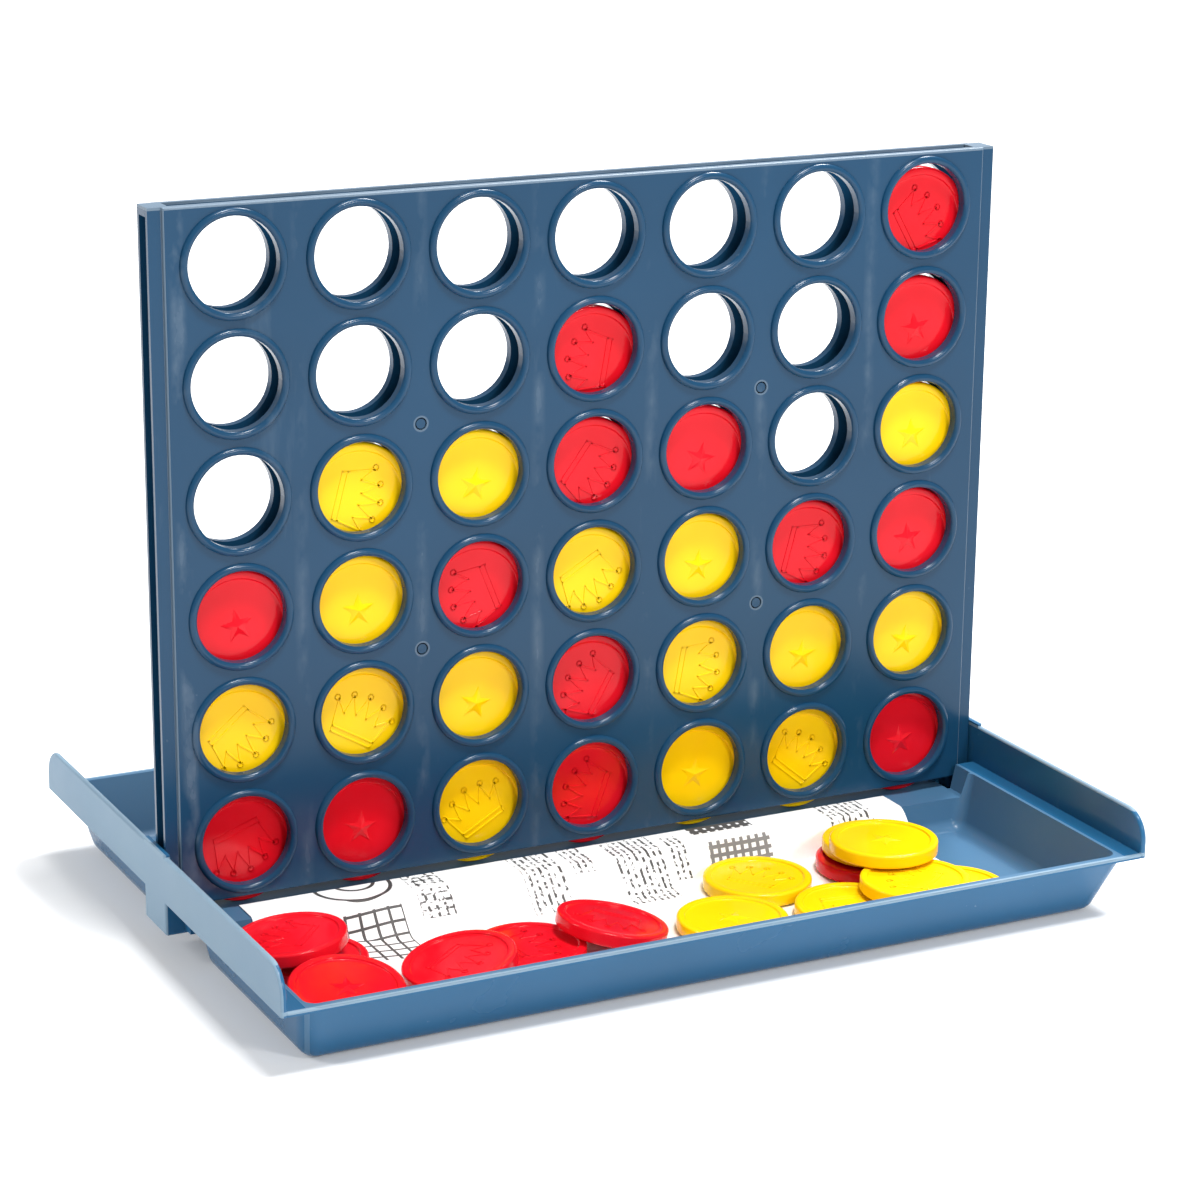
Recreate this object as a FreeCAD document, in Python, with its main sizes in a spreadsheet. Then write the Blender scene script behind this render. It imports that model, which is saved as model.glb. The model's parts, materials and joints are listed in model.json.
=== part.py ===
"""Four-in-a-row game: folding tray, two-sided hole frame, discs and an instruction sheet.

Millimetres, +Z up.  The origin is on the resting surface, under the middle of the frame;
X runs along the frame's width and -Y is the player's side.
"""
import FreeCAD, Part
import math
import os

import Sketcher
from FreeCAD import Placement, Rotation, Vector

doc = FreeCAD.newDocument("FourInARow")
dims = doc.addObject("Spreadsheet::Sheet", "Dimensions")

# ---------------------------------------------------------------- driving dimensions
DRIVING = [
    ("column_pitch", 33.4, "distance between hole columns"),
    ("row_pitch", 30.3, "distance between hole rows"),
    ("first_row_height", 29.1, "height of the lowest row of hole centres"),
    ("hole_radius", 12.1, "radius of a viewing hole"),
    ("bead_radius", 14.2, "outer radius of the raised bead round a hole"),
    ("bead_height", 1.1, "how far a bead stands off the panel face"),
    ("panel_wall", 2.2, "wall thickness of a grid panel"),
    ("slot_gap", 4.8, "free gap between the two panels"),
    ("panel_half_width", 118.4, "half width of a panel face"),
    ("rail_half_width", 122.0, "half width over the stepped-back side rails"),
    ("rail_step", 0.9, "step from the panel face back to the side rail"),
    ("frame_top", 195.9, "height of the frame's top edge"),
    ("panel_bottom", 13.7, "height of the panels' bottom edge"),
    ("rail_bottom", 9.7, "height of the rails' feet"),
    ("rib_width", 1.8, "thickness of the ribs between columns"),
    ("rib_top", 189.5, "height of the ribs' top ends"),
    ("peg_radius", 1.3, "radius of the four locating pegs"),
    ("peg_play", 0.35, "play between a peg and its socket"),
    ("end_wall", 2.0, "thickness of the walls at the ends of the slot"),
    ("cap_height", 2.4, "height of the caps over the rails' top ends"),
    ("panel_play", 0.1, "gap between the dividers and the front panel"),
    ("disc_radius", 14.85, "radius of a disc"),
    ("disc_height", 3.8, "thickness of a disc at its rim"),
    ("disc_web", 2.6, "thickness of a disc inside its rim"),
    ("disc_rim", 1.7, "width of a disc's raised rim"),
    ("disc_air", 0.35, "gap between stacked discs, and under the lowest one"),
    ("emboss_height", 0.35, "height of the embossed figures"),
    ("star_radius", 4.9, "distance from a star's middle to its points"),
    ("star_waist", 2.0, "distance from a star's middle to its notches"),
    ("tray_half_depth", 89.0, "half depth of the tray over its front and rear rims"),
    ("tray_half_width", 124.0, "half width of the tray over its side flanges"),
    ("rim_height", 18.0, "height of the tray's rim and end ledges"),
    ("flange_top", 29.2, "height of the side flanges' top edge"),
    ("flange_wall", 1.6, "thickness of the side flanges"),
    ("rim_plate", 1.2, "thickness of the rim and ledges"),
    ("floor_wall", 2.0, "thickness of the tub floors"),
    ("tub_top_half", 118.4, "half width of a tub's outside at the rim"),
    ("tub_foot_half", 114.8, "half width of a tub's outside at its foot"),
    ("tub_foot_depth", 79.5, "distance from the middle to the far side of a tub's foot"),
    ("tub_wall", 1.9, "thickness of the tubs' walls"),
    ("rim_width", 2.4, "width of the ledge along the front and rear rims"),
    ("near_foot", 1.2, "step from the bridge's edge to the foot of a tub's near wall"),
    ("near_lean", 1.8, "how far a tub's near wall leans in over its height"),
    ("near_wall", 2.0, "thickness of a tub's near wall"),
    ("bridge_top", 11.0, "height of the bridge the discs stand on"),
    ("bridge_half", 13.5, "half depth of the bridge's top"),
    ("channel_half", 8.0, "half depth of a leg channel's outside"),
    ("channel_floor", 9.4, "height of a leg channel's floor"),
    ("channel_wall", 1.8, "wall thickness of a leg channel"),
    ("pocket_reach", 10.0, "how far a leg channel's pocket reaches in from the flange's outside"),
    ("leg_play", 0.4, "play between a rail and its channel, sideways"),
    ("sheet_thick", 0.25, "thickness of the paper sheet"),
    ("sheet_width", 196.0, "width of the paper sheet"),
    ("sheet_shift", -4.6, "how far the sheet's middle lies off the tray's middle"),
    ("sheet_air", 0.16, "gap between the sheet and the plastic under it"),
    ("sheet_rear", -4.4, "where the sheet ends under the front panel"),
    ("sheet_front", -72.0, "where the sheet ends in the front tub"),
    ("tub_outer_round", 5.0, "fillet of a tub's outside"),
    ("tub_inner_round", 3.5, "fillet of a tub's inside"),
    ("rim_corner_round", 2.5, "radius of the rim's corners seen from above"),
    ("rim_edge_round", 0.5, "fillet of the rim's upper edge"),
    ("flange_corner_round", 8.0, "radius of the side flanges' upper corners"),
    ("flange_edge_round", 0.7, "fillet along the side flanges' top edge"),
    ("channel_round", 0.8, "fillet of a leg channel's corners"),
    ("panel_edge_round", 0.6, "fillet of a panel face's border"),
]
D = {}
for row, (alias, value, note) in enumerate(DRIVING, start=1):
    dims.set("A%d" % row, note)
    dims.set("B%d" % row, str(value))
    dims.setAlias("B%d" % row, alias)
    D[alias] = value
doc.recompute()


def bind(obj, prop, expression):
    """Drive a property from the spreadsheet; aliases are written as {alias}."""
    for alias in sorted(D, key=len, reverse=True):
        expression = expression.replace("{%s}" % alias, "Dimensions.%s" % alias)
    obj.setExpression(prop, expression)


def value(expression):
    """Number of a dimension expression, for geometry that is drawn before it is constrained."""
    for alias in sorted(D, key=len, reverse=True):
        expression = expression.replace("{%s}" % alias, repr(D[alias]))
    total = 0.0
    for term in expression.replace("-", "+-").split("+"):
        if not term.strip():
            continue
        product = 1.0
        for factor in term.replace(" ", "").split("*"):
            if factor.startswith("-"):
                product = -product
                factor = factor[1:]
            if "/" in factor:
                top, bottom = factor.split("/")
                product *= float(top) / float(bottom)
            else:
                product *= float(factor)
        total += product
    return total


# ---------------------------------------------------------------- small builders
def box(name, x0, x1, y0, y1, z0, z1):
    """Part::Box between six bound coordinates given as expressions."""
    obj = doc.addObject("Part::Box", name)
    bind(obj, "Length", "(%s) - (%s)" % (x1, x0))
    bind(obj, "Width", "(%s) - (%s)" % (y1, y0))
    bind(obj, "Height", "(%s) - (%s)" % (z1, z0))
    bind(obj, "Placement.Base.x", x0)
    bind(obj, "Placement.Base.y", y0)
    bind(obj, "Placement.Base.z", z0)
    return obj


def tub(name, low, high):
    """Part::Wedge between two level rectangles: (half width, near y, far y, height) each."""
    obj = doc.addObject("Part::Wedge", name)
    # the wedge grows along its own Y; turning it a quarter about X makes that +Z
    obj.Placement = Placement(Vector(0, 0, 0), Rotation(Vector(1, 0, 0), 90))
    for prop, expression in (
        ("Xmin", "-(%s)" % low[0]), ("Xmax", low[0]),
        ("Zmin", "-(%s)" % low[2]), ("Zmax", "-(%s)" % low[1]), ("Ymin", low[3]),
        ("X2min", "-(%s)" % high[0]), ("X2max", high[0]),
        ("Z2min", "-(%s)" % high[2]), ("Z2max", "-(%s)" % high[1]), ("Ymax", high[3]),
    ):
        bind(obj, prop, expression)
    return obj


def fillet(name, base, radius, chosen):
    """Part::Fillet on the edges of base whose two end points satisfy chosen(p, q)."""
    doc.recompute()
    edges = []
    for index, edge in enumerate(base.Shape.Edges, start=1):
        ends = [v.Point for v in edge.Vertexes]
        if len(ends) == 2 and chosen(ends[0], ends[1]):
            edges.append((index, radius, radius))
    obj = doc.addObject("Part::Fillet", name)
    obj.Base = base
    obj.Edges = edges
    return obj


def fuse(name, parts):
    obj = doc.addObject("Part::MultiFuse", name)
    obj.Shapes = parts
    obj.Refine = True
    return obj


def cut(name, base, tools):
    obj = doc.addObject("Part::Cut", name)
    obj.Base = base
    obj.Tool = tools[0] if len(tools) == 1 else fuse(name + "Tools", tools)
    obj.Refine = True
    return obj


def sketch_on(body, name, role):
    """Empty sketch attached to one of the body's own origin planes."""
    sketch = body.newObject("Sketcher::SketchObject", name)
    plane = [f for f in body.Origin.OriginFeatures if f.Role == role][0]
    sketch.AttachmentSupport = [(plane, "")]
    sketch.MapMode = "FlatFace"
    return sketch


def rectangle(sketch, x0, x1, y0, y1):
    """Add a rectangle whose four sides are held by bound distances from the origin."""
    ax, bx, ay, by = value(x0), value(x1), value(y0), value(y1)
    corners = [Vector(ax, ay, 0), Vector(bx, ay, 0), Vector(bx, by, 0), Vector(ax, by, 0)]
    first = len(sketch.Geometry)
    for k in range(4):
        sketch.addGeometry(Part.LineSegment(corners[k], corners[(k + 1) % 4]), False)
    for k in range(4):
        sketch.addConstraint(Sketcher.Constraint("Coincident", first + k, 2, first + (k + 1) % 4, 1))
    for k, kind in enumerate(("Horizontal", "Vertical", "Horizontal", "Vertical")):
        sketch.addConstraint(Sketcher.Constraint(kind, first + k))
    for geometry, kind, expression in (
        (first, "DistanceX", x0), (first, "DistanceY", y0),
        (first + 2, "DistanceX", x1), (first + 2, "DistanceY", y1),
    ):
        index = sketch.addConstraint(Sketcher.Constraint(kind, geometry, 1, value(expression)))
        bind(sketch, "Constraints[%d]" % index, expression)


def polygon(sketch, points):
    """Add a closed outline of straight lines."""
    first = len(sketch.Geometry)
    count = len(points)
    for k in range(count):
        a, b = points[k], points[(k + 1) % count]
        sketch.addGeometry(Part.LineSegment(Vector(a[0], a[1], 0), Vector(b[0], b[1], 0)), False)
    for k in range(count):
        sketch.addConstraint(Sketcher.Constraint("Coincident", first + k, 2, first + (k + 1) % count, 1))


def circle(sketch, x, y, radius):
    """Add a circle held by bound centre distances and a bound radius."""
    centre = Vector(value(x), value(y), 0)
    index = sketch.addGeometry(Part.Circle(centre, Vector(0, 0, 1), value(radius)), False)
    for kind, expression in (("DistanceX", x), ("DistanceY", y)):
        held = sketch.addConstraint(Sketcher.Constraint(kind, index, 3, value(expression)))
        bind(sketch, "Constraints[%d]" % held, expression)
    held = sketch.addConstraint(Sketcher.Constraint("Radius", index, value(radius)))
    bind(sketch, "Constraints[%d]" % held, radius)


def pad(body, name, sketch, length, backwards=False):
    obj = body.newObject("PartDesign::Pad", name)
    obj.Profile = sketch
    bind(obj, "Length", length)
    obj.Reversed = backwards
    return obj


# ---------------------------------------------------------------- base tray
def half_tray(side, tag):
    """Outer and inner solids of the tub on one side; side is -1 in front, +1 behind."""
    def span(near, far):
        return (near, far) if side > 0 else ("-(%s)" % far, "-(%s)" % near)

    depth, foot, rim = "{tray_half_depth}", "{tub_foot_depth}", "{rim_height}"
    near = "{bridge_half} + {near_foot}"
    outer = tub("TubOuter" + tag,
                ("{tub_foot_half}",) + span(near + " - {near_wall}", foot) + ("0",),
                ("{tub_top_half}",) + span(near + " - {near_wall} - {near_lean}", depth) + (rim,))
    inner = tub("TubInner" + tag,
                ("{tub_foot_half} - {tub_wall}",) + span(near, foot + " - {tub_wall}") + ("{floor_wall}",),
                ("{tub_top_half} - {tub_wall}",) + span(near + " - {near_lean}", depth + " - {rim_width}") + (rim,))

    def low_or_corner(limit):
        def chosen(p, q):
            level = abs(p.z - q.z) < 0.01
            return (level and p.z < limit) or (not level)
        return chosen

    return (fillet("TubOuterRound" + tag, outer, D["tub_outer_round"], low_or_corner(1.0)),
            fillet("TubInnerRound" + tag, inner, D["tub_inner_round"], low_or_corner(D["floor_wall"] + 1.0)))


front_outer, front_inner = half_tray(-1, "Front")
rear_outer, rear_inner = half_tray(1, "Rear")

plate = box("RimPlate", "-{tray_half_width}", "{tray_half_width}", "-{tray_half_depth}", "{tray_half_depth}",
            "{rim_height} - {rim_plate}", "{rim_height}")
plate_corners = fillet("RimCorners", plate, D["rim_corner_round"], lambda p, q: abs(p.z - q.z) > 1.0)
plate_round = fillet("RimEdge", plate_corners, D["rim_edge_round"],
                     lambda p, q: min(p.z, q.z) > D["rim_height"] - 0.01)

bridge = box("Bridge", "-({tray_half_width} - 5.0)", "{tray_half_width} - 5.0",
             "-({bridge_half} - 1.0)", "{bridge_half} - 1.0", "{bridge_top} - 2.0", "{rim_height}")
basin = tub("BridgeBasin",
            ("{tub_top_half} - {tub_wall} - 1.6", "-({bridge_half} + 0.6)", "{bridge_half} + 0.6", "{bridge_top}"),
            ("{tub_top_half} - {tub_wall}", "-({bridge_half} + 0.6)", "{bridge_half} + 0.6", "{rim_height} + 0.2"))

solids = [front_outer, rear_outer, plate_round, bridge]
cutters = [front_inner, rear_inner, basin]
for side, tag in ((-1, "Left"), (1, "Right")):
    def reach(near, far, side=side):
        return (near, far) if side > 0 else ("-(%s)" % far, "-(%s)" % near)

    x0, x1 = reach("{tray_half_width} - {flange_wall}", "{tray_half_width}")
    flange = box("Flange" + tag, x0, x1, "-{tray_half_depth}", "{tray_half_depth}",
                 "{rim_height} - {rim_plate}", "{flange_top}")
    top = D["flange_top"] - 0.01
    flange_ends = fillet("FlangeCorners" + tag, flange, D["flange_corner_round"],
                         lambda p, q: min(p.z, q.z) > top and abs(p.x - q.x) > 1.0)
    flange_edge = fillet("FlangeEdge" + tag, flange_ends, D["flange_edge_round"],
                         lambda p, q: min(p.z, q.z) > top and abs(p.x - q.x) < 0.01)
    x0, x1 = reach("{tray_half_width} - {pocket_reach} - 2.5", "{tray_half_width}")
    channel = box("Channel" + tag, x0, x1, "-{channel_half}", "{channel_half}",
                  "{channel_floor} - {channel_wall}", "{flange_top} + 0.6")
    channel_round = fillet("ChannelRound" + tag, channel, D["channel_round"],
                           lambda p, q: abs(p.z - q.z) > 1.0 or max(p.z, q.z) < D["channel_floor"])
    x0, x1 = reach("{tray_half_width} - {pocket_reach}", "{rail_half_width} + {leg_play}")
    inside = box("ChannelInside" + tag, x0, x1, "-({channel_half} - {channel_wall})",
                 "{channel_half} - {channel_wall}", "{channel_floor}", "{flange_top} + 5.0")
    x0, x1 = reach("{tray_half_width} - {pocket_reach} - 3.5", "{tray_half_width} - {flange_wall}")
    opening = box("ChannelMouth" + tag, x0, x1, "-({channel_half} + 0.5)", "{channel_half} + 0.5",
                  "{rim_height}", "{flange_top} + 5.0")
    solids += [flange_edge, channel_round]
    cutters += [inside, opening]

tray = cut("BaseTray", fuse("TraySolids", solids), cutters)
tray.Label = "Base_tray"


# ---------------------------------------------------------------- grid panels
HOLE_X = "-3*{column_pitch}"
TOP_ROW = "{first_row_height} + 5*{row_pitch}"


def grid_panel(label, placement):
    """One panel, its inside face on the body's XZ plane and its outside towards -Y."""
    body = doc.addObject("PartDesign::Body", label.replace("_", ""))
    body.Label = label
    outline = sketch_on(body, "Outline", "XZ_Plane")
    rectangle(outline, "-{panel_half_width}", "{panel_half_width}", "{panel_bottom}", "{frame_top}")
    face = pad(body, "Face", outline, "{panel_wall}")
    doc.recompute()

    rims = [index for index, edge in enumerate(face.Shape.Edges, start=1)
            if all(abs(v.Point.y + D["panel_wall"]) < 0.01 for v in edge.Vertexes)]
    softened = body.newObject("PartDesign::Fillet", "FaceEdge")
    softened.Base = (face, ["Edge%d" % index for index in rims])
    softened.Radius = D["panel_edge_round"]

    profile = sketch_on(body, "BeadProfile", "XY_Plane")
    # the ring's section lies left and right of the hole's own axis; the axis is drawn as construction
    centre = value(HOLE_X)
    inner, outer = D["hole_radius"], D["bead_radius"]
    wall, crest = D["panel_wall"], D["panel_wall"] + D["bead_height"]
    middle = 0.5 * (inner + outer) + 0.1
    base_y = -(wall - 0.4)
    a = Vector(centre + inner, base_y, 0)
    b = Vector(centre + inner, -(wall - 0.1), 0)
    c = Vector(centre + middle, -crest, 0)
    d = Vector(centre + outer, -wall, 0)
    e = Vector(centre + outer, base_y, 0)
    arc = Part.Arc(b, c, d)
    profile.addGeometry(Part.LineSegment(a, b), False)
    profile.addGeometry(arc, False)
    profile.addGeometry(Part.LineSegment(d, e), False)
    profile.addGeometry(Part.LineSegment(e, a), False)
    profile.addGeometry(Part.LineSegment(Vector(centre, -1, 0), Vector(centre, -3, 0)), True)
    profile.AttachmentOffset = Placement(Vector(0, 0, value(TOP_ROW)), Rotation())
    bind(profile, "AttachmentOffset.Base.z", TOP_ROW)

    bead = body.newObject("PartDesign::Revolution", "Bead")
    bead.Profile = profile
    bead.ReferenceAxis = (profile, ["Axis0"])
    bead.Angle = 360

    hole_sketch = sketch_on(body, "HoleCircle", "XZ_Plane")
    circle(hole_sketch, HOLE_X, TOP_ROW, "{hole_radius}")
    hole = body.newObject("PartDesign::Pocket", "Hole")
    hole.Profile = hole_sketch
    hole.Type = 1
    hole.Midplane = True

    grid = body.newObject("PartDesign::MultiTransform", "HoleGrid")
    grid.Originals = [bead, hole]
    steps = []
    for name, axis, back, pitch, count in (("Columns", "H_Axis", False, "{column_pitch}", 7),
                                           ("Rows", "V_Axis", True, "{row_pitch}", 6)):
        step = body.newObject("PartDesign::LinearPattern", name)
        step.Direction = (hole_sketch, [axis])
        step.Reversed = back
        step.Occurrences = count
        bind(step, "Length", "%d*%s" % (count - 1, pitch))
        steps.append(step)
    grid.Transformations = steps
    body.Tip = grid

    rails = sketch_on(body, "Rails", "XZ_Plane")
    for x0, x1 in (("-{rail_half_width}", "-{panel_half_width} + 0.4"),
                   ("{panel_half_width} - 0.4", "{rail_half_width}")):
        rectangle(rails, x0, x1, "{rail_bottom}", "{frame_top}")
    pad(body, "SideRails", rails, "{panel_wall} - {rail_step}")
    body.Placement = placement
    return body


def half_gap(sign):
    return Vector(0, sign * 0.5 * D["slot_gap"], 0)


front = grid_panel("Front_grid_panel", Placement(half_gap(-1), Rotation()))
rear = grid_panel("Rear_grid_panel", Placement(half_gap(1), Rotation(Vector(0, 0, 1), 180)))
PEGS = [(x, z) for x in ("-1.5*{column_pitch}", "1.5*{column_pitch}")
        for z in ("{first_row_height} + 1.5*{row_pitch}", "{first_row_height} + 3.5*{row_pitch}")]

# the front panel takes the pegs that join the two panels through the dividers
sockets = sketch_on(front, "PegSockets", "XZ_Plane")
for x, z in PEGS:
    circle(sockets, x, z, "{peg_radius} + {peg_play}")
socket_cut = front.newObject("PartDesign::Pocket", "SocketCut")
socket_cut.Profile = sockets
socket_cut.Type = 1
socket_cut.Midplane = True


# ---------------------------------------------------------------- dividers between the panels
SLOT_FRONT, SLOT_REAR = "-(0.5*{slot_gap} - {panel_play})", "0.5*{slot_gap}"


def peg(name, x, z):
    """Locating peg from the rear panel's inside face into the front panel's socket."""
    obj = doc.addObject("Part::Cylinder", name)
    obj.Placement = Placement(Vector(0, 0, 0), Rotation(Vector(1, 0, 0), 90))
    bind(obj, "Radius", "{peg_radius}")
    bind(obj, "Height", "{slot_gap} + {panel_wall} - 0.15")
    bind(obj, "Placement.Base.x", x)
    bind(obj, "Placement.Base.y", SLOT_REAR)
    bind(obj, "Placement.Base.z", z)
    return obj


dividers = []
for number, k in enumerate((-2.5, -1.5, -0.5, 0.5, 1.5, 2.5), start=1):
    middle = "%s*{column_pitch}" % k
    rib = box("Rib%d" % number, middle + " - 0.5*{rib_width}", middle + " + 0.5*{rib_width}",
              SLOT_FRONT, SLOT_REAR, "{panel_bottom}", "{rib_top}")
    pegs = [peg("Peg%d_%d" % (number, n), x, z) for n, (x, z) in enumerate(PEGS, start=1) if x == middle]
    dividers.append(fuse("RibWithPegs%d" % number, [rib] + pegs) if pegs else rib)
for side, tag in ((-1, "Left"), (1, "Right")):
    def reach(near, far, side=side):
        return (near, far) if side > 0 else ("-(%s)" % far, "-(%s)" % near)

    wall = box("EndWall" + tag, *reach("{panel_half_width} - {end_wall}", "{panel_half_width}"),
               SLOT_FRONT, SLOT_REAR, "{rail_bottom}", "{frame_top}")
    cap = box("EndCap" + tag, *reach("{panel_half_width} - 0.5", "{rail_half_width}"),
              SLOT_FRONT, SLOT_REAR, "{frame_top} - {cap_height}", "{frame_top}")
    dividers.append(fuse("End" + tag, [wall, cap]))
spacers = doc.addObject("Part::Compound", "ColumnDividers")
spacers.Links = dividers
spacers.Label = "Column_dividers"


# ---------------------------------------------------------------- discs
def star_points(radius, waist, turn=90.0):
    """Five-pointed star outline, one point up."""
    points = []
    for k in range(10):
        reach = radius if k % 2 == 0 else waist
        angle = math.radians(turn + 36.0 * k)
        points.append((reach * math.cos(angle), reach * math.sin(angle)))
    return points


CROWN = [(-6.6, -4.0), (6.6, -4.0), (8.0, 4.6), (4.0, 0.6), (0.0, 6.4), (-4.0, 0.6), (-8.0, 4.6)]


def disc(label, placement):
    """One disc lying on its side faces: star on +Z, crown on -Z."""
    body = doc.addObject("PartDesign::Body", label.replace("_", ""))
    body.Label = label
    radius, half, web, rim = D["disc_radius"], 0.5 * D["disc_height"], 0.5 * D["disc_web"], D["disc_rim"]
    soft = 0.5
    section = sketch_on(body, "Section", "XZ_Plane")
    outline = [(0, -web), (radius - rim - 0.5, -web), (radius - rim, -half), (radius - soft, -half),
               (radius, -half + soft), (radius, half - soft), (radius - soft, half), (radius - rim, half),
               (radius - rim - 0.5, web), (0, web)]
    polygon(section, outline)
    turned = body.newObject("PartDesign::Revolution", "Turned")
    turned.Profile = section
    turned.ReferenceAxis = (section, ["V_Axis"])
    turned.Angle = 360
    star = sketch_on(body, "Star", "XY_Plane")
    polygon(star, star_points(D["star_radius"], D["star_waist"]))
    pad(body, "StarPad", star, "0.5*{disc_web} + {emboss_height}")
    crown = sketch_on(body, "Crown", "XY_Plane")
    polygon(crown, CROWN)
    pad(body, "CrownPad", crown, "0.5*{disc_web} + {emboss_height}", backwards=True)
    body.Placement = placement
    return body


# rows from the bottom up, columns left to right; capital letters show the star to the front
FRAME_ROWS = ["rRyrYyR", "yyYryYY", "RYryYrR", ".yYrR.Y", "...r..R", "......r"]
standing = []
for column in range(7):
    for row in range(6):
        mark = FRAME_ROWS[row][column]
        if mark == ".":
            continue
        colour = "Red" if mark in "rR" else "Yellow"
        x = (column - 3) * D["column_pitch"]
        z = D["bridge_top"] + D["disc_air"] + D["disc_radius"] + row * (2 * D["disc_radius"] + D["disc_air"])
        lean = 17.0 * math.sin(2.1 * column + 1.3 * row)
        spin = Rotation(Vector(0, 0, 1), lean)
        upright = Rotation(Vector(1, 0, 0), 90)
        if mark.islower():
            upright = Rotation(Vector(0, 0, 1), 180).multiply(upright)
        label = "%s_disc_column_%d_row_%d" % (colour, column + 1, row + 1)
        standing.append(disc(label, Placement(Vector(x, 0, z), upright.multiply(spin))))

# loose discs in the front tub: colour, x, y, height of the lower face's middle, tilt, way it tilts, face
FLOOR = D["floor_wall"] + 2 * D["sheet_thick"] + 0.3
STEP = D["disc_height"] + 0.4
LOOSE = [
    ("Red", -94.0, -32.7, FLOOR, 0.0, 0.0, "crown"),
    ("Red", -98.5, -30.4, FLOOR + STEP + 1.7, 6.0, -117.0, "crown"),
    ("Red", -95.6, -59.9, FLOOR + 2.75, 10.6, 0.0, "star"),
    ("Red", -40.1, -49.5, FLOOR, 0.0, 0.0, "crown"),
    ("Red", -62.8, -56.7, FLOOR + 3.05, 11.4, -90.0, "crown"),
    ("Red", -16.9, -49.7, FLOOR + 2.95, 11.4, 90.0, "crown"),
    ("Red", 72.0, -32.7, FLOOR, 0.0, 0.0, "star"),
    ("Yellow", 74.8, -31.2, FLOOR + STEP, 0.0, 0.0, "star"),
    ("Yellow", 71.0, -41.5, FLOOR + 2 * STEP, 0.0, 0.0, "star"),
    ("Yellow", 36.5, -32.7, FLOOR, 0.0, 0.0, "crown"),
    ("Yellow", 16.3, -55.4, FLOOR, 0.0, 0.0, "star"),
    ("Yellow", 49.3, -60.5, FLOOR, 0.0, 0.0, "crown"),
    ("Yellow", 81.0, -61.3, FLOOR, 0.0, 0.0, "crown"),
    ("Yellow", 69.0, -61.1, FLOOR + STEP, 0.0, 0.0, "crown"),
]
counts = {"Red": 0, "Yellow": 0}
loose = []
for index, (colour, x, y, z, tilt, way, up) in enumerate(LOOSE):
    counts[colour] += 1
    turn = Rotation(Vector(0, 0, 1), way)
    pose = turn.multiply(Rotation(Vector(1, 0, 0), tilt)).multiply(turn.inverted())
    pose = pose.multiply(Rotation(Vector(0, 0, 1), 47.0 * index))
    if up == "crown":
        pose = pose.multiply(Rotation(Vector(1, 0, 0), 180))
    lift = 0.5 * D["disc_height"]
    normal = turn.multiply(Rotation(Vector(1, 0, 0), tilt)).multVec(Vector(0, 0, 1))
    label = "%s_disc_loose_%d" % (colour, counts[colour])
    loose.append(disc(label, Placement(Vector(x, y, z) + normal * lift, pose)))


# ---------------------------------------------------------------- instruction sheet
def sheet_outline():
    """Lower line of the sheet's side view: over the bridge, down its face and along the floor."""
    air, clear = D["sheet_air"], 0.3
    over, under = D["bridge_top"] + air, D["floor_wall"] + air
    brow, bend = D["bridge_half"] - 0.4, 1.6
    face, foot = brow + bend, 3.7
    line = [(D["sheet_rear"], over)]
    for k in range(7):
        turn = math.radians(15.0 * k)
        line.append((-brow - bend * math.sin(turn), over - bend * (1.0 - math.cos(turn))))
    for k in range(7):
        turn = math.radians(15.0 * k)
        line.append((-face - clear - foot * (1.0 - math.cos(turn)), under + foot * (1.0 - math.sin(turn))))
    line.append((D["sheet_front"], under))
    return line


paper = doc.addObject("PartDesign::Body", "InstructionSheet")
paper.Label = "Instruction_sheet"
side_view = sketch_on(paper, "SideView", "YZ_Plane")
lower = sheet_outline()
upper = [(y, z + D["sheet_thick"]) for y, z in reversed(lower)]
polygon(side_view, lower + upper)
body_pad = paper.newObject("PartDesign::Pad", "SheetPad")
body_pad.Profile = side_view
body_pad.Midplane = True
bind(body_pad, "Length", "{sheet_width}")
paper.Placement = Placement(Vector(D["sheet_shift"], 0, 0), Rotation())

# ---------------------------------------------------------------- check and write
doc.recompute()
os.makedirs("parts", exist_ok=True)
for obj in doc.Objects:
    if "Invalid" in obj.State or "Error" in obj.State:
        raise RuntimeError("%s did not recompute: %s" % (obj.Name, obj.State))
pieces = [(tray, 1), (front, 1), (rear, 1), (spacers, len(dividers)), (paper, 1)]
pieces += [(piece, 1) for piece in standing + loose]
for obj, solids_expected in pieces:
    shape = obj.Shape
    if shape.isNull() or not shape.isValid() or len(shape.Solids) != solids_expected:
        raise RuntimeError("%s: %d solids, valid %s" % (obj.Label, len(shape.Solids), shape.isValid()))
    shape.exportStep("parts/%s.step" % obj.Label)
    print("%-28s %10.1f mm3  %s" % (obj.Label, shape.Volume, shape.BoundBox))
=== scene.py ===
"""Looks for the four-in-a-row game: moulded plastics, detailed discs, the sheet, light and camera."""
import json
import math

import bpy
from mathutils import Matrix, Vector


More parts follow.
